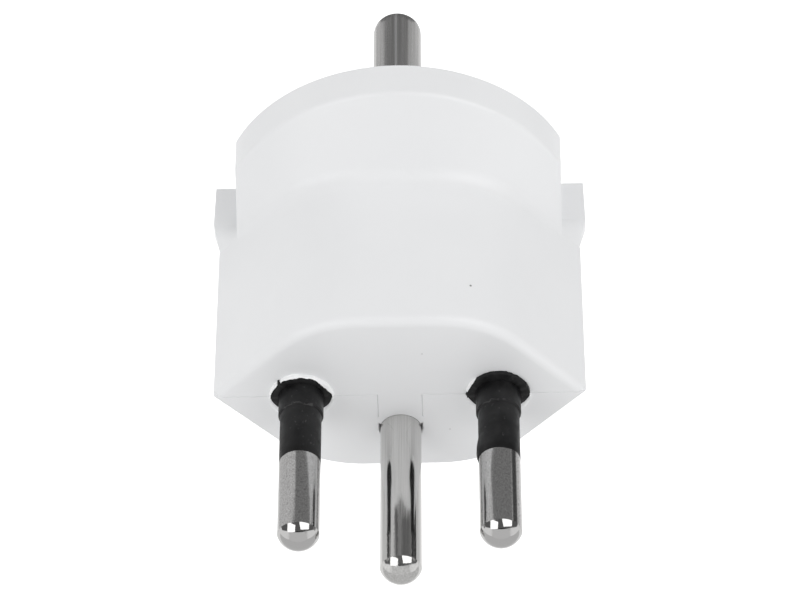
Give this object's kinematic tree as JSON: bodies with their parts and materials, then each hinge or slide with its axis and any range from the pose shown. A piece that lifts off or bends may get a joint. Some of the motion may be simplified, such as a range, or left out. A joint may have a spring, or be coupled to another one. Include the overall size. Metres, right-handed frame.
{
  "type": "plug adapter",
  "caption": "White travel adapter: a flared two-shell body with sleeved round pins and an offset earth pin on one face, and a flat socket with a standing earth pin on the other.",
  "frame": {"origin": "middle of the pin face, on the seam of the two shells", "axes": "+X across the line and neutral pins towards the neutral pin, +Y from the pin face towards the socket face, +Z away from the plug's earth pin"},
  "size_m": [0.0372, 0.0602, 0.0358],
  "materials": {
    "white_plastic": "satin moulded white",
    "black_plastic": "moulded black",
    "satin_nickel": "satin nickel plating",
    "bright_nickel": "bright nickel plating",
    "brass": "plain brass",
    "spring_steel": "plain spring steel"
  },
  "bodies": {
    "root": {"upper_shell": "white_plastic", "lower_shell": "white_plastic", "line_pin": "satin_nickel", "neutral_pin": "satin_nickel", "line_pin_sleeve": "black_plastic", "neutral_pin_sleeve": "black_plastic", "earth_pin": "bright_nickel", "socket_earth_pin": "bright_nickel", "line_contact": "brass", "neutral_contact": "brass", "line_contact_spring": "spring_steel", "neutral_contact_spring": "spring_steel", "earth_strap": "brass"}
  },
  "joints": []
}
